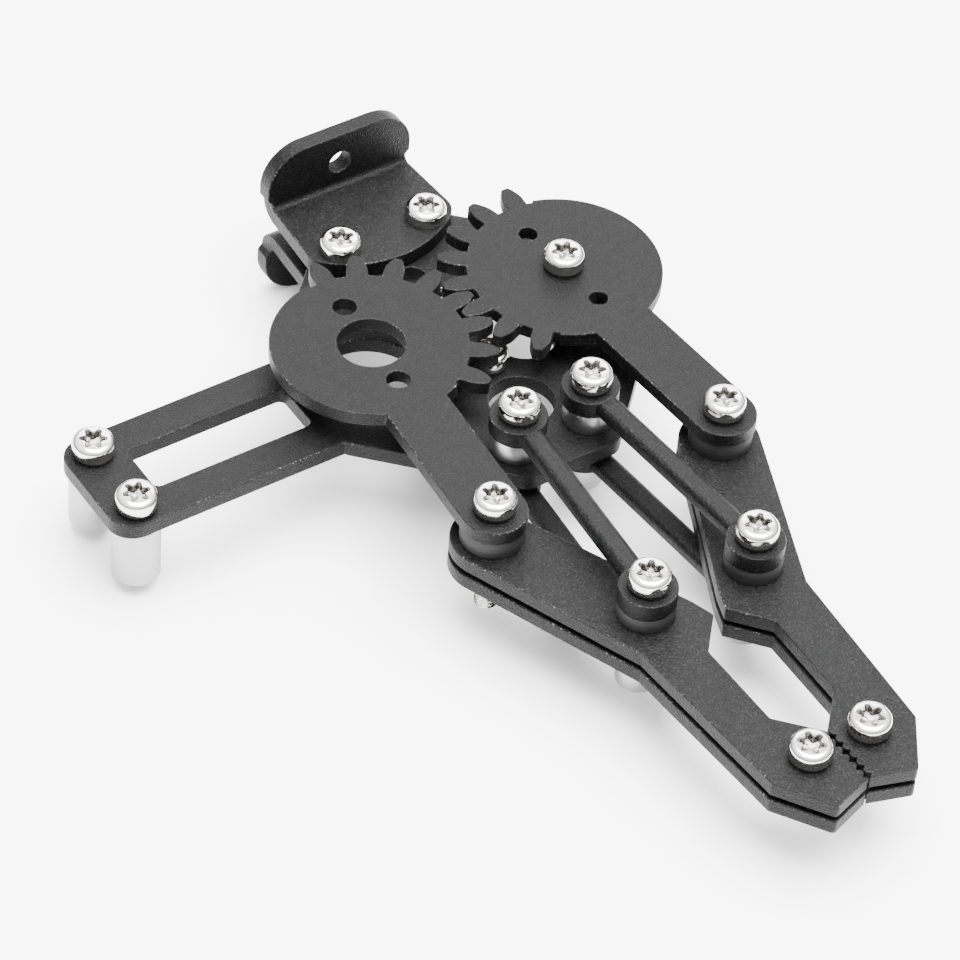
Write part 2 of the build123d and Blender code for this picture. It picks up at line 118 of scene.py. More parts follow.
@dataclass
class Surface:
    """Closed shells given as grids of points, gathered into one object.

    Attributes:
        name: The name of the object.
        grids: Points of shape (rings, around, 3) in millimetres, and how each grid closes.
        sunk_rings: How many rings at the end of each grid are darkened as painted shade, such as a screw's
            recess.
    """

    name: str
    grids: list[tuple[Array, Ends]] = field(default_factory=list)
    sunk_rings: int = 0

    def add(self, points: Array, ends: Ends) -> None:
        """Adds one shell."""
        self.grids.append((points, ends))

    def build(self) -> bpy.types.Object:
        """Makes the object, with a UV map that unrolls each shell.

        U runs once round the shell, and V is the distance in millimetres along its profile.
        The attribute "sunk" is 1 on the rings that take painted shade and 0 elsewhere.

        Returns:
            The object, with its place in its mesh.
        """
        corners, faces, maps, sunk = [], [], [], []
        start = 0
        for points, ends in self.grids:
            rings, around = points.shape[:2]
            last = rings if ends is Ends.JOINED else rings - 1
            i, j = np.meshgrid(np.arange(last), np.arange(around), indexing="ij")
            after_i = (i + 1) % rings
            after_j = (j + 1) % around
            quads = np.stack([i * around + j, i * around + after_j,
                              after_i * around + after_j, after_i * around + j], axis=-1)
            closed = np.concatenate([points[:, 0], points[:1, 0]])
            along = np.concatenate([[0.0], np.cumsum(np.linalg.norm(np.diff(closed, axis=0), axis=1))])
            u = np.stack([j, j + 1, j + 1, j], axis=-1) / around
            v = np.stack([along[i], along[i], along[i + 1], along[i + 1]], axis=-1)
            corners.append(points.reshape(-1, 3))
            faces.append(quads.reshape(-1, 4) + start)
            maps.append(np.stack([u, v], axis=-1).reshape(-1, 2))
            sunk.append(np.repeat(np.arange(rings) >= rings - self.sunk_rings, around).astype(float))
            start += rings * around
        mesh = bpy.data.meshes.new(self.name)
        mesh.from_pydata((np.concatenate(corners) + TO_WRIST) * MM, [], np.concatenate(faces).tolist())
        mesh.uv_layers.new(name="unrolled").data.foreach_set("uv", np.concatenate(maps).ravel())
        mesh.attributes.new("sunk", "FLOAT", "POINT").data.foreach_set("value", np.concatenate(sunk))
        shell = bmesh.new()
        shell.from_mesh(mesh)
        bmesh.ops.remove_doubles(shell, verts=shell.verts, dist=WELD_DISTANCE)
        bmesh.ops.recalc_face_normals(shell, faces=shell.faces)
        shell.to_mesh(mesh)
        shell.free()
        mesh.shade_smooth()
        mesh.set_sharp_from_angle(angle=SHARP_ANGLE)
        piece = bpy.data.objects.new(self.name, mesh)
        bpy.context.scene.collection.objects.link(piece)
        return piece


def angles() -> Array:
    """The directions of the samples round a turned surface."""
    return np.linspace(0.0, 2 * pi, AROUND, endpoint=False)


def turned(radius: Array, height: Array, place: Place, turn: float = 0.0) -> Array:
    """A surface about an upright axis: each ring has a height, and a radius for each direction.

    Args:
        radius: Shape (rings, 1) or (rings, AROUND).
        height: Shape (rings, 1) or (rings, AROUND).
        place: Where the axis stands.
        turn: How far the surface is turned about its axis.

    Returns:
        Points of shape (rings, AROUND, 3).
    """
    theta = angles() + turn
    x = place[0] + radius * np.cos(theta)
    y = place[1] + radius * np.sin(theta)
    return np.stack([x, y, np.broadcast_to(height, x.shape)], axis=-1)


def eased_wall(outer: float, bottom: float, top: float, ease: float) -> list[Place]:
    """The outer wall of a turned piece, from its lower face to its upper one, with eased edges."""
    near = ease * 0.3
    return [
        (outer - ease, bottom), (outer - near, bottom + near), (outer, bottom + ease),
        (outer, (bottom + top) / 2),
        (outer, top - ease), (outer - near, top - near), (outer - ease, top),
    ]


def tube(outer: float, inner: float, bottom: float, top: float, place: Place, ease: float = 0.2) -> Array:
    """A round post or spacer with a bore, its edges eased by a small cone.

    Args:
        outer: The outer radius.
        inner: The radius of the bore.
        bottom: The height of the lower face.
        top: The height of the upper face.
        place: Where its axis stands.
        ease: The size of the cones.

    Returns:
        Points for a grid that joins its ends.
    """
    half = ease / 2
    profile = np.array([
        (inner + half, bottom), *eased_wall(outer, bottom, top, ease), (inner + half, top),
        (inner, top - half), (inner, bottom + half),
    ])
    return turned(profile[:, :1], profile[:, 1:], place)


def blind_post(outer: float, bores: Place, depth: float, ends: Place, place: Place, ease: float) -> Array:
    """A round post bored from both ends, with a web left between the two bores.

    Args:
        outer: The outer radius.
        bores: The radius of the lower bore and of the upper one.
        depth: How deep each bore goes.
        ends: The height of the lower face and of the upper one.
        place: Where its axis stands.
        ease: The size of the cones on the outer edges.

    Returns:
        Points for a grid that ends in poles.
    """
    bottom, top = ends
    lower, upper = bores
    half = ease / 2
    profile = np.array([
        (0.0, bottom + depth), (lower, bottom + depth), (lower, bottom + half), (lower + half, bottom),
        *eased_wall(outer, bottom, top, ease),
        (upper, top), (upper, top - depth), (0.0, top - depth),
    ])
    return turned(profile[:, :1], profile[:, 1:], place)


@dataclass(frozen=True)
class Hardware:
    """M3 screws, nuts and washers, as functions of a direction and a height."""

    screw_r: float = 1.5
    tip_r: float = 1.02
    tip_slope: float = 0.9
    head_r: float = 2.6
    head_h: float = 2.0
    head_round: float = 0.8
    head_ease: float = 0.12
    thread_pitch: float = 0.5
    thread_depth: float = 0.27
    thread_length: float = 5.5
    rings_per_turn: int = 6
    recess_r: float = 1.38
    recess_lobe: float = 0.32
    recess_depth: float = 1.15
    recess_dip: float = 0.22
    lobe_sharpness: float = 0.65
    sunk_rings: int = 4  # the wall and floor of the recess, darkened as painted shade
    nut_flats: float = 5.5
    nut_h: float = 2.4
    nut_mouth: float = 0.22
    nut_mouth_depth: float = 0.2
    washer_outer: float = 2.45
    washer_inner: float = 1.56
    washer_t: float = 0.5
    washer_gap: float = 0.16
    sleeve_r: float = 2.7
    sleeve_ends: Place = (-9.9, -6.05)
    sleeve_ease: float = 0.3

    def screw(self, seat: float, length: float, place: Place, turn: float) -> Array:
        """A pan-head screw with a six-lobe recess.

        The thread is a ridge whose phase is the height over the pitch less the direction over
        one turn. The recess's radius is a circle plus a cosine of six times the direction, whose
        crests are flattened by a power below one.

        Args:
            seat: The height of the face under the head.
            length: From that face to the tip.
            place: Where its axis stands.
            turn: How far the recess is turned.

        Returns:
            Points for a grid that ends in poles.
        """
        tip = seat - length
        turns = self.thread_length / self.thread_pitch
        height = np.linspace(tip, tip + self.thread_length, int(turns * self.rings_per_turn))[:, None]
        phase = (height / self.thread_pitch - angles() / (2 * pi)) % 1.0
        fade = np.clip((tip + self.thread_length - height) / self.thread_pitch, 0.0, 1.0)
        thread = self.screw_r - self.thread_depth * fade * np.abs(2 * phase - 1)
        thread = np.minimum(thread, self.tip_r + self.tip_slope * (height - tip))
        wave = np.cos(6 * angles())[None, :]
        lobes = np.sign(wave) * np.abs(wave) ** self.lobe_sharpness
        top = seat + self.head_h
        bend = np.linspace(0.0, pi / 2, 7)
        dome = np.stack([self.head_r - self.head_round * (1 - np.cos(bend)),
                         top - self.head_round * (1 - np.sin(bend))], axis=-1)
        head = np.concatenate([
            [(self.screw_r, seat), (self.head_r - self.head_ease, seat),
             (self.head_r - 0.3 * self.head_ease, seat + 0.3 * self.head_ease),
             (self.head_r, seat + self.head_ease)], dome])
        floor = top - self.recess_depth
        # Each ring's mean radius, the height of its lobes and its place.
        recess = np.array([
            (self.recess_r + 0.06, self.recess_lobe * 0.95, top),
            (self.recess_r + 0.01, self.recess_lobe, top - 0.05),
            (self.recess_r - 0.04, self.recess_lobe, top - 0.14),
            (self.recess_r - 0.10, self.recess_lobe, floor + 0.12),
            (self.recess_r - 0.16, self.recess_lobe * 0.9, floor + 0.02),
            (0.55, 0.04, floor - 0.05),
        ])
        wide = np.ones((1, AROUND))
        radius = np.concatenate([
            0 * wide, thread, head[:, :1] * wide, recess[:, :1] + recess[:, 1:2] * lobes, 0 * wide])
        levels = np.concatenate([
            [[tip]], height, head[:, 1:], recess[:, 2:], [[floor - self.recess_dip]]])
        return turned(radius, levels, place, turn)

    def sleeve_nut(self, place: Place) -> Array:
        """A round nut on the lower end of a pivot screw."""
        return tube(self.sleeve_r, self.screw_r, *self.sleeve_ends, place, self.sleeve_ease)

    def dark_rings(self, node: str) -> int:
        """How many of a node's rings take painted shade: for a screw its recess, for a lock washer every
        ring, in the shadow under a head.
        """
        # A lock washer lies in the shadow under its screw's head, so every ring of it takes painted shade.
        if "lock_washers" in node:
            return AROUND + 2
        return self.sunk_rings if "screw" in node else 0

    def hex_nut(self, top: float, place: Place, turn: float) -> Array:
        """A hexagon nut: its radius is the lesser of the hexagon's and a cone's, so corners round off.

        Args:
            top: The height of its upper face.
            place: Where its axis stands.
            turn: How far it is turned.

        Returns:
            Points for a grid that joins its ends.
        """
        sixth = pi / 3
        hexagon = self.nut_flats / 2 / np.cos((angles() % sixth) - sixth / 2)
        limits = np.array([2.58, 2.76, 2.92, 3.06, 3.2])
        drops = np.array([0.0, 0.08, 0.17, 0.27, 0.38])
        bore, mouth = self.screw_r, self.screw_r + self.nut_mouth
        limit = np.concatenate([limits, limits[::-1]])[:, None]
        outer = np.minimum(limit, hexagon)
        outer_z = np.concatenate([top - drops, top - self.nut_h + drops[::-1]])[:, None]
        wide = np.ones((1, AROUND))
        radius = np.concatenate([mouth * wide, outer, mouth * wide, bore * wide, bore * wide])
        low = top - self.nut_h
        depth = self.nut_mouth_depth
        height = np.concatenate([[[top]], outer_z, [[low]], [[low + depth]], [[top - depth]]])
        return turned(radius, height, place, turn)

    def lock_washer(self, bottom: float, place: Place, turn: float) -> Array:
        """A split washer: a rounded rectangle carried round most of a turn, its ends cut slanting.

        Args:
            bottom: The height of its lower face.
            place: Where its axis stands.
            turn: Where the gap is.

        Returns:
            Points for a grid that ends in poles.
        """
        inner, outer, ease = self.washer_inner, self.washer_outer, 0.07
        top = bottom + self.washer_t
        section = np.array([
            (inner + ease, bottom), (outer - ease, bottom), (outer, bottom + ease), (outer, top - ease),
            (outer - ease, top), (inner + ease, top), (inner, top - ease), (inner, bottom + ease)])
        theta = np.linspace(turn + self.washer_gap / 2, turn + 2 * pi - self.washer_gap / 2, AROUND)
        slant = (section[:, 1] - bottom - self.washer_t / 2) * 0.22
        direction = theta[:, None] + slant[None, :]
        points = np.stack([place[0] + section[:, 0] * np.cos(direction),
                           place[1] + section[:, 0] * np.sin(direction),
                           np.broadcast_to(section[:, 1], direction.shape)], axis=-1)
        first = np.broadcast_to(points[0].mean(axis=0), (1, *points.shape[1:]))
        last = np.broadcast_to(points[-1].mean(axis=0), (1, *points.shape[1:]))
        return np.concatenate([first, points, last])


def eased_copy(node: str, width: float, rims_only: bool) -> bpy.types.Object:
    """A copy of a CAD node with its sharp edges rounded over.

    The rounded faces carry the attribute "edge" at 1, and every other face has 0.

    Args:
        node: The name of the CAD node.
        width: How far in from each sharp edge the rounding starts, in millimetres.
        rims_only: Rounds only the edges of level faces, and leaves where a bar runs into an eye.

    Returns:
        The new object.
    """
    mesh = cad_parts[node].data.copy()
    mesh.materials.clear()
    shell = bmesh.new()
    shell.from_mesh(mesh)
    bmesh.ops.remove_doubles(shell, verts=shell.verts, dist=1e-6)
    bmesh.ops.dissolve_limit(shell, angle_limit=radians(0.6), verts=shell.verts, edges=shell.edges)
    edge = shell.faces.layers.float.new("edge")
    sharp = [e for e in shell.edges if e.calc_face_angle() > radians(32)]
    if rims_only:
        sharp = [e for e in sharp if max(abs(face.normal.z) for face in e.link_faces) > 0.999
                 and min(abs(face.normal.z) for face in e.link_faces) < 0.01]
    rounded = bmesh.ops.bevel(shell, geom=sharp, offset=width * MM, offset_type="OFFSET", segments=3,
                              profile=0.5, affect="EDGES", clamp_overlap=False, loop_slide=False)
    for face in rounded["faces"]:
        face[edge] = 1.0
    for face in shell.faces:
        face.smooth = True
    shell.to_mesh(mesh)
    shell.free()
    mesh.name = node + "_coated"
    piece = bpy.data.objects.new(node + "_coated", mesh)
    bpy.context.scene.collection.objects.link(piece)
    mesh.set_sharp_from_angle(angle=radians(44))
    weighted = piece.modifiers.new("flat faces stay flat", "WEIGHTED_NORMAL")
    weighted.keep_sharp = True
    return piece


# Shared effects


class NodeSheet:
    """A short way to lay out shader nodes in one tree."""

    def __init__(self, tree: bpy.types.NodeTree) -> None:
        """Keeps the tree and empties it."""
        self.tree = tree
        tree.nodes.clear()

    def node(self, kind: str, values: dict | None = None, **settings: object) -> bpy.types.Node:
        """Adds a node.

        Args:
            kind: Its Blender type.
            values: Input values or the sockets that feed them, by name or number.
            **settings: Its own settings.

        Returns:
            The node.
        """
        made = self.tree.nodes.new(kind)
        for key, value in settings.items():
            setattr(made, key, value)
        for key, value in (values or {}).items():
            if isinstance(value, bpy.types.NodeSocket):
                self.tree.links.new(value, made.inputs[key])
            else:
                made.inputs[key].default_value = value
        return made

    def noise(self, vector: object, scale: object, detail: float = 2.0) -> bpy.types.NodeSocket:
        """Noise between about 0.2 and 0.8 at a scale in cells per metre."""
        made = self.node("ShaderNodeTexNoise", {"Vector": vector, "Scale": scale, "Detail": detail})
        return made.outputs["Fac"]

    def ramp(self, value: object, low: float, high: float, to: Place = (0.0, 1.0)) -> bpy.types.NodeSocket:
        """A value carried from low..high to another range, and held there."""
        made = self.node("ShaderNodeMapRange", {
            "Value": value, "From Min": low, "From Max": high, "To Min": to[0], "To Max": to[1]})
        return made.outputs["Result"]

    def math(self, operation: str, first: object, second: object = 0.0) -> bpy.types.NodeSocket:
        """One sum or product."""
        return self.node("ShaderNodeMath", {0: first, 1: second}, operation=operation).outputs[0]

    def blend(self, mask: object, first: object, second: object) -> bpy.types.NodeSocket:
        """The first colour where the mask is 0, the second where it is 1."""
        made = self.node("ShaderNodeMix", data_type="RGBA")
        for socket, value in ((0, mask), (6, first), (7, second)):
            if isinstance(value, bpy.types.NodeSocket):
                self.tree.links.new(value, made.inputs[socket])
            else:
                made.inputs[socket].default_value = value
        return made.outputs[2]


def effect(name: str, inputs: dict[str, float], outputs: tuple[str, ...],
           lay_out: Callable[[NodeSheet, dict, object], dict]) -> bpy.types.NodeTree:
    """Builds a shader node group.

    Args:
        name: The group's name.
        inputs: Each input value's name and default.
        outputs: The names of the values that it gives.
        lay_out: Adds the nodes, from the sheet, the inputs and the object's own place, and
            returns the socket for each output.

    Returns:
        The group.
    """
    group = bpy.data.node_groups.new(name, "ShaderNodeTree")
    for label, value in inputs.items():
        made = group.interface.new_socket(label, in_out="INPUT", socket_type="NodeSocketFloat")
        made.default_value = value
    for label in outputs:
        group.interface.new_socket(label, in_out="OUTPUT", socket_type="NodeSocketFloat")
    sheet = NodeSheet(group)
    given = sheet.node("NodeGroupInput")
    place = sheet.node("ShaderNodeTexCoord").outputs["Object"]
    results = lay_out(sheet, given.outputs, place)
    sheet.node("NodeGroupOutput", {label: results[label] for label in outputs})
    return group


def powder_grain(sheet: NodeSheet, given: dict, place: object) -> dict:
    """Fine orange-peel grain, with sparse pale specks that are painted glints of light."""
    blotches_per_metre, glints_per_grain = 420.0, 1.7
    fine = sheet.noise(place, given["Grains per metre"], 2.0)
    broad = sheet.noise(place, blotches_per_metre, 3.0)
    finer = sheet.noise(place, sheet.math("MULTIPLY", given["Grains per metre"], glints_per_grain), 1.0)
    height = sheet.math("ADD", sheet.math("MULTIPLY", fine, 0.8), sheet.math("MULTIPLY", broad, 0.35))
    # Painted glints: sparse pale specks that stand in for light caught by the grain.
    glints = sheet.ramp(finer, 0.54, 0.74)
    tone = sheet.math("ADD", sheet.math("MULTIPLY", fine, 0.9), sheet.math("MULTIPLY", broad, 0.1))
    return {"Height": height, "Specks": glints, "Tone": tone}


def edge_wear(sheet: NodeSheet, given: dict, place: object) -> dict:
    """Chips through the coating, only on faces marked as rounded edges."""
    patches_per_metre, rubs_per_metre = 140.0, 260.0
    marked = sheet.node("ShaderNodeAttribute", attribute_name="edge").outputs["Fac"]
    chips = sheet.ramp(sheet.noise(place, given["Chips per metre"], 3.0), 0.60, 0.66)
    patches = sheet.ramp(sheet.noise(place, patches_per_metre, 2.0), 0.42, 0.66)
    worn = sheet.math("MULTIPLY", sheet.math("MULTIPLY", chips, patches), marked)
    rubbed = sheet.math("MULTIPLY", sheet.ramp(sheet.noise(place, rubs_per_metre, 3.0), 0.35, 0.7), marked)
    return {"Chipped": sheet.math("MULTIPLY", worn, given["Amount"]), "Rubbed": rubbed}


def turning_lines(sheet: NodeSheet, given: dict, place: object) -> dict:
    """Fine rings left by the lathe, from the distance along the unrolled profile."""
    turns_share, scuffs_per_metre = 0.35, 380.0
    unrolled = sheet.node("ShaderNodeUVMap", uv_map="unrolled").outputs["UV"]
    parts = sheet.node("ShaderNodeSeparateXYZ", {0: unrolled})
    along = sheet.node("ShaderNodeCombineXYZ", {
        0: sheet.math("MULTIPLY", parts.outputs[0], turns_share),
        1: sheet.math("MULTIPLY", parts.outputs[1], given["Lines per millimetre"])})
    lines = sheet.noise(along.outputs[0], 1.0, 3.0)
    scuffs = sheet.ramp(sheet.noise(place, scuffs_per_metre, 4.0), 0.5, 0.72)
    return {"Height": lines, "Scuffs": scuffs}


def handling_dust(sheet: NodeSheet, given: dict, place: object) -> dict:
    """Sparse pale lint on faces that look up."""
    lint_per_metre = 2300.0
    up = sheet.node("ShaderNodeSeparateXYZ", {0: sheet.node("ShaderNodeNewGeometry").outputs["Normal"]})
    lint = sheet.ramp(sheet.noise(place, lint_per_metre, 2.0), 0.73, 0.78)
    facing = sheet.ramp(up.outputs[2], 0.3, 0.9)
    return {"Dust": sheet.math("MULTIPLY", sheet.math("MULTIPLY", lint, facing), given["Amount"])}


# Finishes


def shaded(name: str) -> tuple[bpy.types.Material, NodeSheet, bpy.types.Node]:
    """A new material with a Principled shader and its output, its sheet and the shader."""
    material = bpy.data.materials.new(name)
    material.use_nodes = True
    sheet = NodeSheet(material.node_tree)
    shader = sheet.node("ShaderNodeBsdfPrincipled")
    sheet.node("ShaderNodeOutputMaterial", {"Surface": shader.outputs[0]})
    return material, sheet, shader


def grey(value: float, warmth: float = 0.0) -> tuple[float, float, float, float]:
    """A grey, a little warmer or cooler."""
    return value * (1 + warmth), value, value * (1 - warmth), 1.0


@dataclass(frozen=True)
class CoatedAluminium:
    """Fine matt powder coat over aluminium, chipped a little on its edges."""

    name: str = "black powder coat"
    dark: float = 0.0002
    pale: float = 0.0020
    bare: float = 0.45
    grains_per_metre: float = 4200.0
    bump: float = 1.0
    bump_height: float = 0.00016
    chips_per_metre: float = 4200.0
    chipped: float = 0.3
    dust: float = 0.25
    # Painted glints: the tone and share of the pale specks mixed into the colour.
    glint_tone: float = 0.028
    glint_share: float = 0.7
    rubbed_tone: float = 0.016
    rubbed_share: float = 0.5
    dust_tone: float = 0.07
    rough: Place = (0.34, 0.52)
    specular: float = 0.10

    def build(self, effects: dict[str, bpy.types.NodeTree]) -> bpy.types.Material:
        """Makes the material.

        Args:
            effects: The shared node groups by name.

        Returns:
            The material.
        """
        material, sheet, shader = shaded(self.name)
        grain = sheet.node("ShaderNodeGroup", node_tree=effects["grain"])
        grain.inputs["Grains per metre"].default_value = self.grains_per_metre
        wear = sheet.node("ShaderNodeGroup", node_tree=effects["wear"])
        wear.inputs["Chips per metre"].default_value = self.chips_per_metre
        wear.inputs["Amount"].default_value = self.chipped
        dust = sheet.node("ShaderNodeGroup", node_tree=effects["dust"])
        dust.inputs["Amount"].default_value = self.dust
        tone = sheet.ramp(grain.outputs["Tone"], 0.38, 0.66)
        coat = sheet.blend(tone, grey(self.dark, -0.03), grey(self.pale, -0.03))
        # Painted glints: pale specks in the colour stand in for highlights off the grain.
        glints = sheet.math("MULTIPLY", grain.outputs["Specks"], self.glint_share)
        glinted = sheet.blend(glints, coat, grey(self.glint_tone))
        rubs = sheet.math("MULTIPLY", wear.outputs["Rubbed"], self.rubbed_share)
        rubbed = sheet.blend(rubs, glinted, grey(self.rubbed_tone))
        dusty = sheet.blend(dust.outputs["Dust"], rubbed, grey(self.dust_tone))
        colour = sheet.blend(wear.outputs["Chipped"], dusty, grey(self.bare))
        rough = sheet.ramp(grain.outputs["Height"], 0.35, 0.75, self.rough)
        links = sheet.tree.links
        links.new(colour, shader.inputs["Base Color"])
        links.new(rough, shader.inputs["Roughness"])
        links.new(wear.outputs["Chipped"], shader.inputs["Metallic"])
        shader.inputs["Specular IOR Level"].default_value = self.specular
        bump = sheet.node("ShaderNodeBump", {
            "Height": grain.outputs["Height"], "Strength": self.bump, "Distance": self.bump_height})
        links.new(bump.outputs[0], shader.inputs["Normal"])
        return material


@dataclass(frozen=True)
class TurnedMetal:
    """Bare metal from the lathe, with or without plating."""

    name: str
    colour: float
    warmth: float
    rough: Place
    lines_per_mm: float
    line_depth: float
    scuffed: float
    # How far the rings marked for painted shade are taken towards dark grey.
    shade_share: float = 0.0

    def build(self, effects: dict[str, bpy.types.NodeTree]) -> bpy.types.Material:
        """Makes the material.

        Args:
            effects: The shared node groups by name.

        Returns:
            The material.
        """
        material, sheet, shader = shaded(self.name)
        turning = sheet.node("ShaderNodeGroup", node_tree=effects["turning"])
        turning.inputs["Lines per millimetre"].default_value = self.lines_per_mm
        tone = sheet.ramp(turning.outputs["Height"], 0.3, 0.7)
        base = sheet.blend(tone, grey(self.colour * 0.94, self.warmth), grey(self.colour, self.warmth))
        scuffed = sheet.math("MULTIPLY", turning.outputs["Scuffs"], self.scuffed)
        scuffed_base = sheet.blend(scuffed, base, grey(self.colour * 0.72, self.warmth))
        # Painted shade: recess rings and whole lock washers are darkened towards dark grey, where shade
        # falls in a hollow and under a head.
        sunk = sheet.node("ShaderNodeAttribute", attribute_name="sunk").outputs["Fac"]
        colour = sheet.blend(sheet.math("MULTIPLY", sunk, self.shade_share), scuffed_base, grey(0.06, 0.05))
        rough = sheet.math("ADD", sheet.ramp(turning.outputs["Height"], 0.3, 0.7, self.rough),
                           sheet.math("MULTIPLY", scuffed, 0.2))
        links = sheet.tree.links
        links.new(colour, shader.inputs["Base Color"])
        links.new(rough, shader.inputs["Roughness"])
        shader.inputs["Metallic"].default_value = 1.0
        bump = sheet.node("ShaderNodeBump", {
            "Height": turning.outputs["Height"], "Strength": 0.35, "Distance": self.line_depth})
        links.new(bump.outputs[0], shader.inputs["Normal"])
        return material


@dataclass(frozen=True)
class MattBlackSpacer:
    """Dark spacer stock with faint turning lines."""

    name: str = "matt black spacer"
    dark: float = 0.006
    pale: float = 0.016
    lines_per_mm: float = 4.0
    line_depth: float = 0.00003
    rough: Place = (0.62, 0.75)
    specular: float = 0.25

    def build(self, effects: dict[str, bpy.types.NodeTree]) -> bpy.types.Material:
        """Makes the material.

        Args:
            effects: The shared node groups by name.

        Returns:
            The material.
        """
        material, sheet, shader = shaded(self.name)
        turning = sheet.node("ShaderNodeGroup", node_tree=effects["turning"])
        turning.inputs["Lines per millimetre"].default_value = self.lines_per_mm
        tone = sheet.ramp(turning.outputs["Height"], 0.3, 0.7)
        colour = sheet.blend(tone, grey(self.dark), grey(self.pale))
        links = sheet.tree.links
        links.new(colour, shader.inputs["Base Color"])
        links.new(sheet.ramp(turning.outputs["Scuffs"], 0.0, 1.0, self.rough), shader.inputs["Roughness"])
        shader.inputs["Specular IOR Level"].default_value = self.specular
        bump = sheet.node("ShaderNodeBump", {
            "Height": turning.outputs["Height"], "Strength": 0.3, "Distance": self.line_depth})
        links.new(bump.outputs[0], shader.inputs["Normal"])
        return material


def make_finishes() -> dict[Slot, bpy.types.Material]:
    """Builds the shared effects once, and a material for each finish."""
    effects = {
        "grain": effect("powder grain", {"Grains per metre": 3400.0},
                        ("Height", "Specks", "Tone"), powder_grain),
        "wear": effect("edge wear", {"Chips per metre": 2600.0, "Amount": 1.0},
                       ("Chipped", "Rubbed"), edge_wear),
        "turning": effect("turning lines", {"Lines per millimetre": 6.0},
                          ("Height", "Scuffs"), turning_lines),
        "dust": effect("handling dust", {"Amount": 0.5}, ("Dust",), handling_dust),
    }
    finishes = {
        Slot.BLACK_COAT: CoatedAluminium(),
        Slot.BLACK_SPACER: MattBlackSpacer(),
        Slot.ALUMINIUM: TurnedMetal("turned aluminium", 0.34, 0.0, (0.28, 0.42), 7.0, 0.00002, 0.35),
        # The steel's last value darkens screw recesses and lock washers as painted shade.
        Slot.STEEL: TurnedMetal("bright plated steel", 0.66, 0.02, (0.08, 0.17), 5.0, 0.00001, 0.3, 0.8),
    }
    return {slot: finish.build(effects) for slot, finish in finishes.items()}


# Sub-assemblies


@dataclass
class SubAssembly:
    """Pieces that ride on one or more CAD bodies.

    Attributes:
        finishes: The material for each slot.
        hardware: The fasteners' sizes.
    """

    finishes: dict[Slot, bpy.types.Material]
    hardware: Hardware

    def dress(self, piece: bpy.types.Object, node: str, body: str, slot: Slot) -> None:
        """Gives a piece its finish and body, and lets it stand for its CAD node."""
        piece.data.materials.append(self.finishes[slot])
        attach(piece, body)
        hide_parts(node)
        LOG.info("%s rides on %s, %d faces", piece.name, body, len(piece.data.polygons))

    def coated(self, node: str, body: str, width: float = 0.16, rims_only: bool = False) -> None:
        """A coated plate or bar from its CAD node."""
        self.dress(eased_copy(node, width, rims_only), node, body, Slot.BLACK_COAT)

    def made(self, node: str, body: str, slot: Slot, grids: list[Array], ends: Ends) -> None:
        """A piece, or a set of like pieces, worked out as surfaces."""
        surface = Surface(node + "_made", sunk_rings=self.hardware.dark_rings(node))
        for points in grids:
            surface.add(points, ends)
        self.dress(surface.build(), node, body, slot)


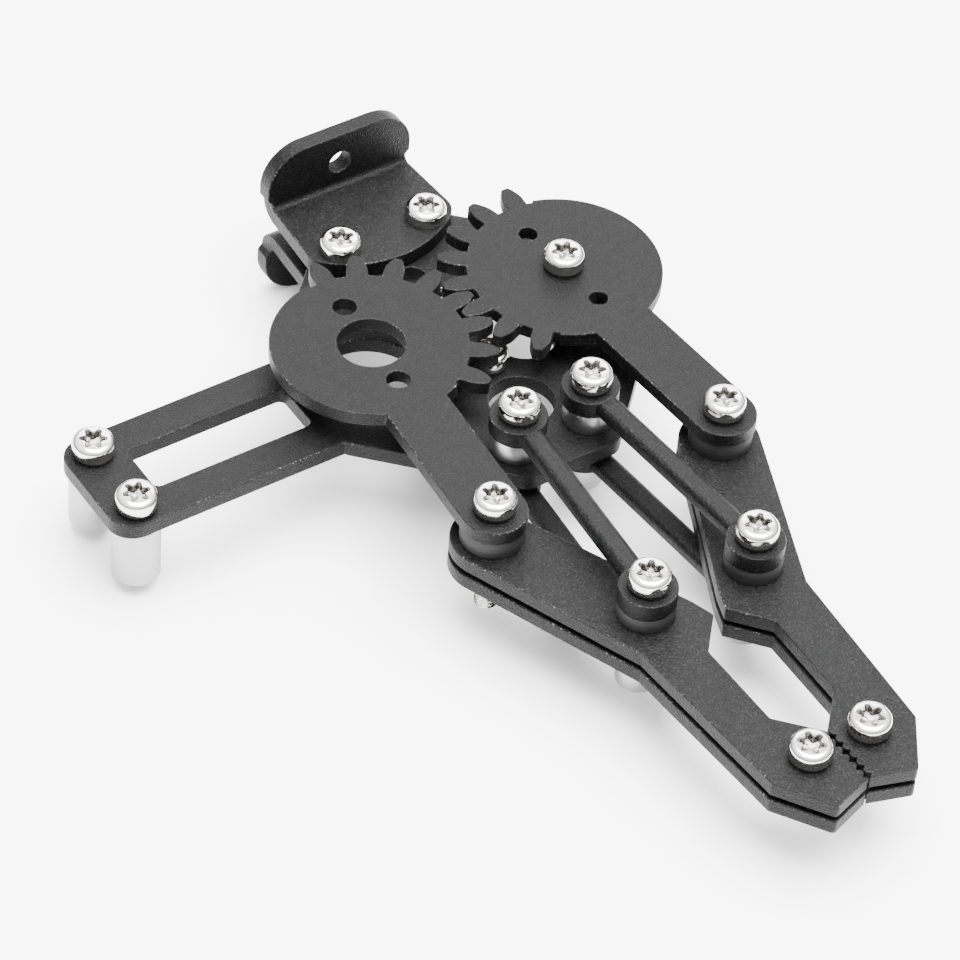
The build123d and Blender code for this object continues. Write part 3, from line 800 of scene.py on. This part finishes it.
@dataclass
class Base(SubAssembly):
    """The base plate, the wrist brackets and all that is fixed to them."""

    gear_axis: Place = (0.0, 14.0)
    link_pivots: tuple[Place, ...] = ((19.1, 5.2), (19.1, -5.2))
    servo_places: tuple[Place, ...] = ((-5.1, -49.6), (5.1, -49.6), (-5.1, -0.1), (5.1, -0.1))
    bracket_places: tuple[Place, ...] = ((-19.2, 6.3), (-19.2, -6.3))
    plate_bottom: float = -2.2
    bracket_top: float = 2.2
    bracket_nut_top: float = -4.4
    bracket_screw_length: float = 10.0
    servo_seat: float = 0.5
    servo_screw_length: float = 6.0
    gear_screw_length: float = 12.0
    standoff_r: float = 3.0
    standoff_bottom: float = -10.7
    standoff_bores: Place = (1.65, 1.5)
    standoff_depth: float = 3.9
    standoff_ease: float = 0.25
    spacer_r: float = 3.1
    lower_spacer_bottom: float = -3.6

    def build(self) -> None:
        """Makes and dresses every piece of the base."""
        for node in ("base_plate", "wrist_bracket_upper", "wrist_bracket_lower"):
            self.coated(node, "base")
        self.fasteners()
        self.spacers()

    def fasteners(self) -> None:
        """The screws, nuts and lock washers, each turned a little differently."""
        hardware = self.hardware
        seats = [self.gear_axis, *self.link_pivots]
        self.made("base_lock_washers", "base", Slot.STEEL,
                  [hardware.lock_washer(PIVOT_WASHER, p, 2.6 + k) for k, p in enumerate(seats)],
                  Ends.POLES)
        self.made("servo_lock_washers", "base", Slot.STEEL,
                  [hardware.lock_washer(PLATE_TOP, p, 2.2 + k) for k, p in enumerate(self.servo_places)],
                  Ends.POLES)
        self.made("servo_screws", "base", Slot.STEEL,
                  [hardware.screw(self.servo_seat, self.servo_screw_length, p, 0.31 * k)
                   for k, p in enumerate(self.servo_places)], Ends.POLES)
        self.made("bracket_screws", "base", Slot.STEEL,
                  [hardware.screw(self.bracket_top, self.bracket_screw_length, p, 0.4 * k)
                   for k, p in enumerate(self.bracket_places)], Ends.POLES)
        self.made("bracket_nuts", "base", Slot.STEEL,
                  [hardware.hex_nut(self.bracket_nut_top, p, 0.0) for p in self.bracket_places],
                  Ends.JOINED)
        self.made("gear_pivot_screw", "base", Slot.STEEL,
                  [hardware.screw(HEAD_SEAT, self.gear_screw_length, self.gear_axis, 0.2)], Ends.POLES)
        self.made("gear_pivot_nut", "base", Slot.STEEL,
                  [hardware.hex_nut(self.plate_bottom, self.gear_axis, 0.0)], Ends.JOINED)
        self.made("link_pivot_screws", "base", Slot.STEEL,
                  [hardware.screw(HEAD_SEAT, PIVOT_SCREW_LENGTH, p, 0.7 * k)
                   for k, p in enumerate(self.link_pivots)], Ends.POLES)

    def spacers(self) -> None:
        """The turned spacers, sleeve nuts and servo posts."""
        self.made("gear_pivot_spacer", "base", Slot.ALUMINIUM,
                  [tube(self.spacer_r, RUNNING_BORE, PLATE_TOP, ARM_BOTTOM, self.gear_axis)], Ends.JOINED)
        self.made("link_spacers_upper", "base", Slot.ALUMINIUM,
                  [tube(self.spacer_r, RUNNING_BORE, PLATE_TOP, LINK_EYE_BOTTOM, p)
                   for p in self.link_pivots], Ends.JOINED)
        self.made("link_spacers_lower", "base", Slot.ALUMINIUM,
                  [tube(self.spacer_r, RUNNING_BORE, self.lower_spacer_bottom, self.plate_bottom, p)
                   for p in self.link_pivots], Ends.JOINED)
        self.made("link_sleeve_nuts", "base", Slot.ALUMINIUM,
                  [self.hardware.sleeve_nut(p) for p in self.link_pivots], Ends.JOINED)
        self.made("servo_standoffs", "base", Slot.ALUMINIUM,
                  [blind_post(self.standoff_r, self.standoff_bores, self.standoff_depth,
                              (self.standoff_bottom, self.plate_bottom), p, self.standoff_ease)
                   for p in self.servo_places], Ends.POLES)


@dataclass
class Linkage(SubAssembly):
    """The two gear arms and the four links, whose crowned bars take a narrower rim."""

    link_rim: float = 0.11

    def build(self) -> None:
        """Makes and dresses every moving bar."""
        self.coated("drive_gear_arm", "drive_gear")
        self.coated("driven_gear_arm", "driven_gear")
        for side in Side:
            for level in ("upper", "lower"):
                name = "link_" + side.word + "_" + level
                self.coated(name, name, self.link_rim, rims_only=True)


@dataclass
class Finger(SubAssembly):
    """One finger: two plates held apart by washers, and its pivots."""

    side: Side = Side.RIGHT
    arm_pivot: Place = (30.903, 16.45)
    link_pivot: Place = (50.003, 7.65)
    tip: Place = (77.703, 4.15)
    plate_top: float = 1.2
    gap: Place = (-1.6, -0.8)
    bottom: float = -3.6
    washer_r: float = 3.0
    washer_ease: float = 0.1
    arm_spacer_r: float = 3.9
    link_spacer_r: float = 3.55
    tip_seat: float = 1.7
    tip_screw_length: float = 8.0

    def build(self) -> None:
        """Makes and dresses every piece of the finger."""
        hardware = self.hardware
        body = "finger_" + self.side.word
        arm, link, tip = (self.side.at(p) for p in (self.arm_pivot, self.link_pivot, self.tip))

        def node(word: str) -> str:
            """The CAD node's name."""
            return body + "_" + word

        self.coated(node("upper_plate"), body)
        self.coated(node("lower_plate"), body)
        self.made(node("plate_washers"), body, Slot.STEEL,
                  [tube(self.washer_r, RUNNING_BORE, *self.gap, p, self.washer_ease)
                   for p in (arm, link, tip)], Ends.JOINED)
        self.made(node("pivot_spacers"), body, Slot.BLACK_SPACER,
                  [tube(self.arm_spacer_r, RUNNING_BORE, self.plate_top, ARM_BOTTOM, arm),
                   tube(self.link_spacer_r, RUNNING_BORE, self.plate_top, LINK_EYE_BOTTOM, link)],
                  Ends.JOINED)
        turn = 0.5 * self.side.value
        self.made(node("pivot_screws"), body, Slot.STEEL,
                  [hardware.screw(HEAD_SEAT, PIVOT_SCREW_LENGTH, arm, turn),
                   hardware.screw(HEAD_SEAT, PIVOT_SCREW_LENGTH, link, 2 * turn + 0.3)], Ends.POLES)
        self.made(node("tip_screw"), body, Slot.STEEL,
                  [hardware.screw(self.tip_seat, self.tip_screw_length, tip, turn + 0.2)], Ends.POLES)
        self.made(node("lock_washers"), body, Slot.STEEL,
                  [hardware.lock_washer(PIVOT_WASHER, arm, 1.0),
                   hardware.lock_washer(PIVOT_WASHER, link, 2.5),
                   hardware.lock_washer(self.plate_top, tip, 4.0)], Ends.POLES)
        self.made(node("hex_nuts"), body, Slot.STEEL,
                  [hardware.hex_nut(self.bottom, p, 0.0) for p in (arm, tip)], Ends.JOINED)
        self.made(node("sleeve_nut"), body, Slot.ALUMINIUM, [hardware.sleeve_nut(link)], Ends.JOINED)


# Studio


@dataclass(frozen=True)
class Studio:
    """A pale floor, soft lights and the camera at the photograph's angle."""

    azimuth: float = -0.640720
    elevation: float = 0.789492
    roll: float = 0.088342
    distance: float = 542.30
    target: tuple[float, float, float] = (21.501, -11.873, 0.0)
    lens: float = 170.53
    floor_drop: float = 0.05
    floor_size: float = 6.0
    horizon: Place = (0.12, 0.8)
    sky_strength: Place = (0.25, 4.2)
    lit_place: tuple[float, float, float] = (0.055, 0.0, 0.0)
    sensor: float = 36.0
    near: float = 0.01
    paper_grain: float = 60.0

    def build(self) -> None:
        """Makes the floor, the lights and the camera."""
        self.floor()
        self.sky()
        self.soft_light("overhead soft light", (0.10, 0.05, 0.75), 0.7, 44.0)
        self.soft_light("rear soft light", (-0.55, 0.45, 0.45), 0.5, 6.0)
        self.camera()

    def floor(self) -> None:
        """A pale sheet just under the lowest point, with a faint paper grain."""
        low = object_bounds()[0].z - self.floor_drop * MM
        half = self.floor_size / 2
        mesh = bpy.data.meshes.new("pale_floor")
        corners = [(-half, -half, low), (half, -half, low), (half, half, low), (-half, half, low)]
        mesh.from_pydata(corners, [], [(0, 1, 2, 3)])
        sheet_object = bpy.data.objects.new("pale_floor", mesh)
        bpy.context.scene.collection.objects.link(sheet_object)
        material, sheet, shader = shaded("pale paper")
        place = sheet.node("ShaderNodeTexCoord").outputs["Object"]
        tone = sheet.ramp(sheet.noise(place, self.paper_grain, 3.0), 0.3, 0.7)
        sheet.tree.links.new(sheet.blend(tone, grey(0.93), grey(0.95)), shader.inputs["Base Color"])
        shader.inputs["Roughness"].default_value = 0.9
        shader.inputs["Specular IOR Level"].default_value = 0.1
        mesh.materials.append(material)
        sheet_object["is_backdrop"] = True

    def sky(self) -> None:
        """White light from above that falls off towards the horizon."""
        world = bpy.data.worlds.new("white room")
        world.use_nodes = True
        sheet = NodeSheet(world.node_tree)
        towards = sheet.node("ShaderNodeTexCoord").outputs["Generated"]
        direction = sheet.node("ShaderNodeSeparateXYZ", {0: towards})
        height = sheet.ramp(direction.outputs[2], self.horizon[0], self.horizon[1], self.sky_strength)
        background = sheet.node("ShaderNodeBackground", {"Color": (1.0, 1.0, 1.0, 1.0), "Strength": height})
        sheet.node("ShaderNodeOutputWorld", {"Surface": background.outputs[0]})
        bpy.context.scene.world = world

    def soft_light(self, name: str, place: tuple[float, float, float], size: float, power: float) -> None:
        """A square area light that faces the middle of the gripper."""
        light = bpy.data.lights.new(name, "AREA")
        light.size = size
        light.energy = power
        lamp = bpy.data.objects.new(name, light)
        towards = Vector(self.lit_place) - Vector(place)
        facing = towards.to_track_quat("-Z", "Y").to_matrix().to_4x4()
        lamp.matrix_world = Matrix.Translation(place) @ facing
        bpy.context.scene.collection.objects.link(lamp)

    def camera(self) -> None:
        """A long lens looking from the left front, from above, a little rolled."""
        back = Vector((cos(self.elevation) * cos(self.azimuth), cos(self.elevation) * sin(self.azimuth),
                       sin(self.elevation)))
        level = Vector((0.0, 0.0, 1.0)).cross(back).normalized()
        upright = back.cross(level)
        right = cos(self.roll) * level + sin(self.roll) * upright
        up = cos(self.roll) * upright - sin(self.roll) * level
        where = (Vector(self.target) + Vector(TO_WRIST) + back * self.distance) * MM
        lens = bpy.data.cameras.new("photograph view")
        lens.lens = self.lens
        lens.sensor_width = self.sensor
        lens.clip_start = self.near
        camera = bpy.data.objects.new("photograph view", lens)
        turn = Matrix((right, up, back)).transposed().to_4x4()
        camera.matrix_world = Matrix.Translation(where) @ turn
        bpy.context.scene.collection.objects.link(camera)
        bpy.context.scene.camera = camera


def main() -> None:
    """Builds every sub-assembly and the studio."""
    logging.basicConfig(level=logging.INFO, format="%(name)s: %(message)s")
    finishes = make_finishes()
    hardware = Hardware()
    Base(finishes, hardware).build()
    Linkage(finishes, hardware).build()
    for side in Side:
        Finger(finishes, hardware, side).build()
    Studio().build()


if __name__ == "__main__":
    main()
